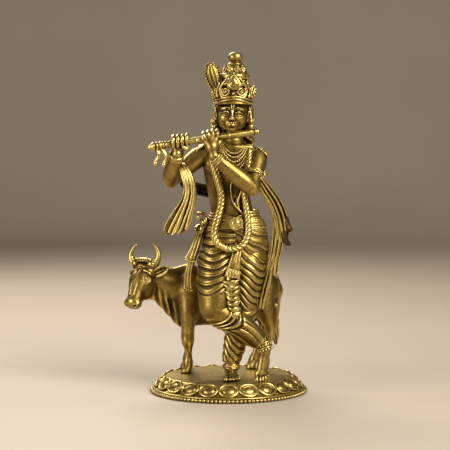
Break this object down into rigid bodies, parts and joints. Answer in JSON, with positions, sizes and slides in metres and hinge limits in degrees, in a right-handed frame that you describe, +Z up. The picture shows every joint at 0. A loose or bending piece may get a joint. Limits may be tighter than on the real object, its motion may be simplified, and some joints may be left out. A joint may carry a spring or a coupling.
{
  "type": "deity statuette",
  "caption": "Antiqued brass statuette of a flute-playing deity with crossed legs, standing before a cow on a round lotus plinth with a beaded rim.",
  "frame": {"origin": "centre of the round plinth's underside, on the surface that it stands on", "axes": "+Z up through the plinth; the figure faces -Y; its own right hand and the cow's head are towards -X"},
  "size_m": [0.1353, 0.1164, 0.25],
  "materials": {
    "antique_brass": "cast brass with a dark patina in the recesses, rubbed bright on the high spots",
    "screw_steel": "plain zinc-plated steel"
  },
  "bodies": {
    "root": {"base_screws": "screw_steel", "belt_clasp": "antique_brass", "chest_collar": "antique_brass", "choker": "antique_brass", "cow_body": "antique_brass", "cow_ears": "antique_brass", "cow_foreleg_far": "antique_brass", "cow_foreleg_near": "antique_brass", "cow_head": "antique_brass", "cow_hindleg_far": "antique_brass", "cow_hindleg_near": "antique_brass", "cow_horn_left": "antique_brass", "cow_horn_right": "antique_brass", "cow_neck": "antique_brass", "cow_tail": "antique_brass", "crown_band": "antique_brass", "crown_dome": "antique_brass", "crown_finial": "antique_brass", "crown_jewel": "antique_brass", "dhoti_hips": "antique_brass", "dhoti_left_shin": "antique_brass", "dhoti_left_thigh": "antique_brass", "dhoti_right_shin": "antique_brass", "dhoti_right_thigh": "antique_brass", "earrings": "antique_brass", "flute": "antique_brass", "flute_tassels": "antique_brass", "front_pleat": "antique_brass", "garland": "antique_brass", "hair": "antique_brass", "head": "antique_brass", "hip_bow": "antique_brass", "hip_tails": "antique_brass", "left_anklet": "antique_brass", "left_armlet": "antique_brass", "left_bracelet": "antique_brass", "left_foot": "antique_brass", "left_forearm": "antique_brass", "left_hand": "antique_brass", "left_upper_arm": "antique_brass", "lotus_petals": "antique_brass", "peacock_feather": "antique_brass", "plinth": "antique_brass", "right_anklet": "antique_brass", "right_armlet": "antique_brass", "right_bracelet": "antique_brass", "right_foot": "antique_brass", "right_forearm": "antique_brass", "right_hand": "antique_brass", "right_upper_arm": "antique_brass", "rim_beads": "antique_brass", "scarf_behind": "antique_brass", "scarf_left": "antique_brass", "scarf_right": "antique_brass", "shoulder_ornaments": "antique_brass", "torso": "antique_brass", "waist_belt": "antique_brass"}
  },
  "joints": []
}
